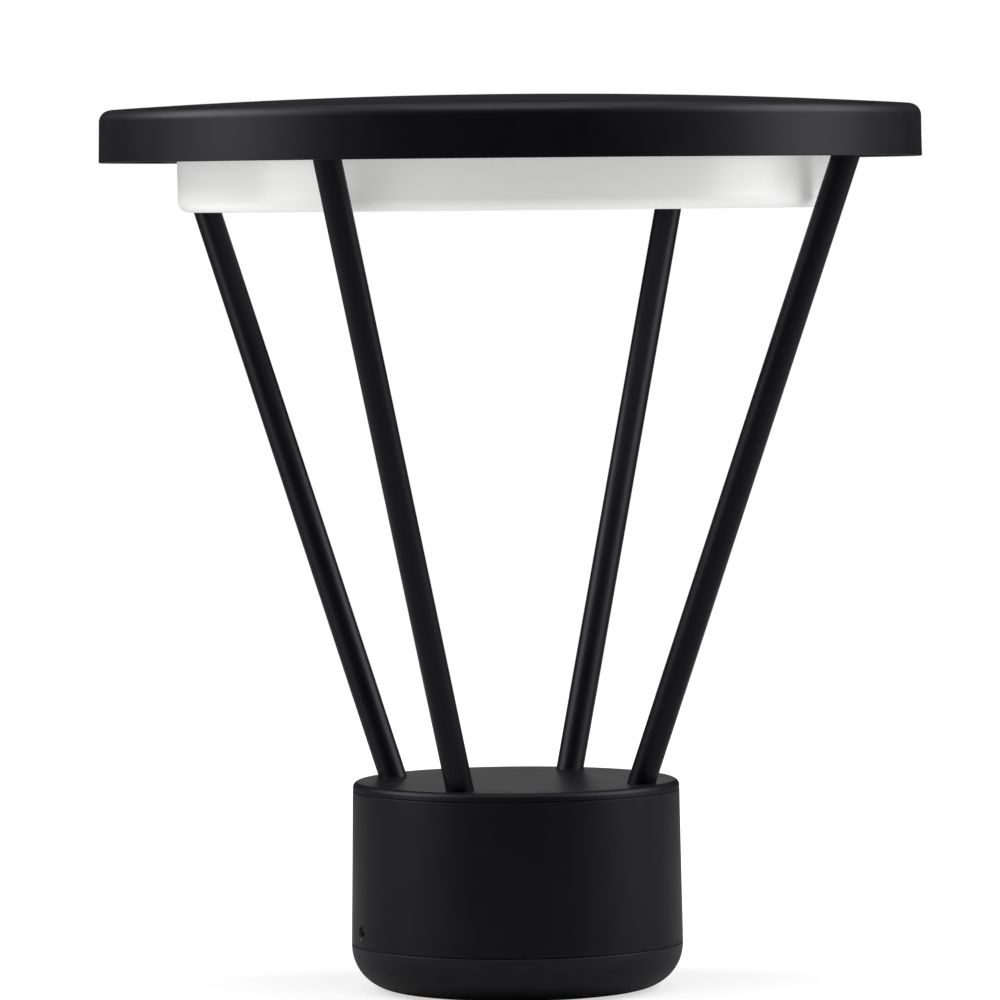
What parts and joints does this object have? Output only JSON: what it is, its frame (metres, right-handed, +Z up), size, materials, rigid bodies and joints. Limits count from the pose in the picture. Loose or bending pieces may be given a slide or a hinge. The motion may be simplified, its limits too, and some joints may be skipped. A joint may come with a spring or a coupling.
{
  "type": "garden post light",
  "caption": "Post-top garden light: a shallow round cap with an opal dish under it, held by leaning rods above a round base that slips over a post's tenon.",
  "frame": {"origin": "centre of the base's underside, at the mouth of the tenon socket", "axes": "+Z up along the base's axis; the rods' base ends stand at 45 degrees between +X and +Y, and the picture looks from the front, near -Y"},
  "size_m": [0.5, 0.5, 0.5446],
  "materials": {
    "black_coat": "satin black powder coat on die-cast aluminium and steel tube",
    "opal": "opal acrylic, smooth",
    "silicone": "grey silicone, matt",
    "steel": "stainless steel, plain turned",
    "black_steel": "black oxide on steel screws",
    "board": "white solder mask on an aluminium-core board",
    "diode": "yellow phosphor in clear resin",
    "nylon": "natural nylon",
    "driver_case": "plain aluminium case",
    "surge_case": "red thermoplastic case",
    "ground_green": "green lacquered steel",
    "lead_white": "white sheathed lead",
    "lead_black": "black sheathed wire"
  },
  "bodies": {
    "fitter": {"fitter": "black_coat", "fitter_gasket": "silicone"},
    "head": {"drum": "black_coat", "plate_gasket": "silicone", "top_plate": "black_coat", "plate_screws": "steel", "rod_back_right": "black_coat", "rod_back_left": "black_coat", "rod_front_left": "black_coat", "rod_front_right": "black_coat", "base_studs": "steel", "base_nuts": "steel", "cap_studs": "steel", "cap_nuts": "steel", "pan": "black_coat", "cap_seal": "silicone", "cap_shell": "black_coat", "cap_screws": "black_steel", "led_board": "board", "led_chips": "diode", "board_screws": "steel", "board_connector": "nylon", "lead_grommet": "silicone", "diffuser_gasket": "silicone", "diffuser": "opal", "diffuser_ring": "black_coat", "ring_screws": "black_steel", "driver": "driver_case", "driver_screws": "steel", "surge_protector": "surge_case", "terminal_block": "nylon", "terminal_screws": "steel", "gear_screws": "steel", "ground_screw": "ground_green", "led_lead": "lead_white", "supply_leads": "lead_black"},
    "lock_screw_left": {"lock_screw_left": "black_steel"},
    "lock_screw_right": {"lock_screw_right": "black_steel"},
    "tenon_screw_back": {"tenon_screw_back": "steel"},
    "tenon_screw_left": {"tenon_screw_left": "steel"},
    "tenon_screw_right": {"tenon_screw_right": "steel"}
  },
  "joints": [
    {"name": "head_lift", "type": "slide", "parent": "fitter", "child": "head", "axis": [0, 0, 1], "range_m": [0, 0.12]},
    {"name": "lock_screw_left_turn_out", "type": "slide", "parent": "head", "child": "lock_screw_left", "axis": [-1, 0, 0], "range_m": [0, 0.005]},
    {"name": "lock_screw_right_turn_out", "type": "slide", "parent": "head", "child": "lock_screw_right", "axis": [1, 0, 0], "range_m": [0, 0.005]},
    {"name": "tenon_screw_back_turn_in", "type": "slide", "parent": "fitter", "child": "tenon_screw_back", "axis": [0, -1, 0], "range_m": [0, 0.006]},
    {"name": "tenon_screw_left_turn_in", "type": "slide", "parent": "fitter", "child": "tenon_screw_left", "axis": [0.866, 0.5, 0], "range_m": [0, 0.006]},
    {"name": "tenon_screw_right_turn_in", "type": "slide", "parent": "fitter", "child": "tenon_screw_right", "axis": [-0.866, 0.5, 0], "range_m": [0, 0.006]}
  ]
}
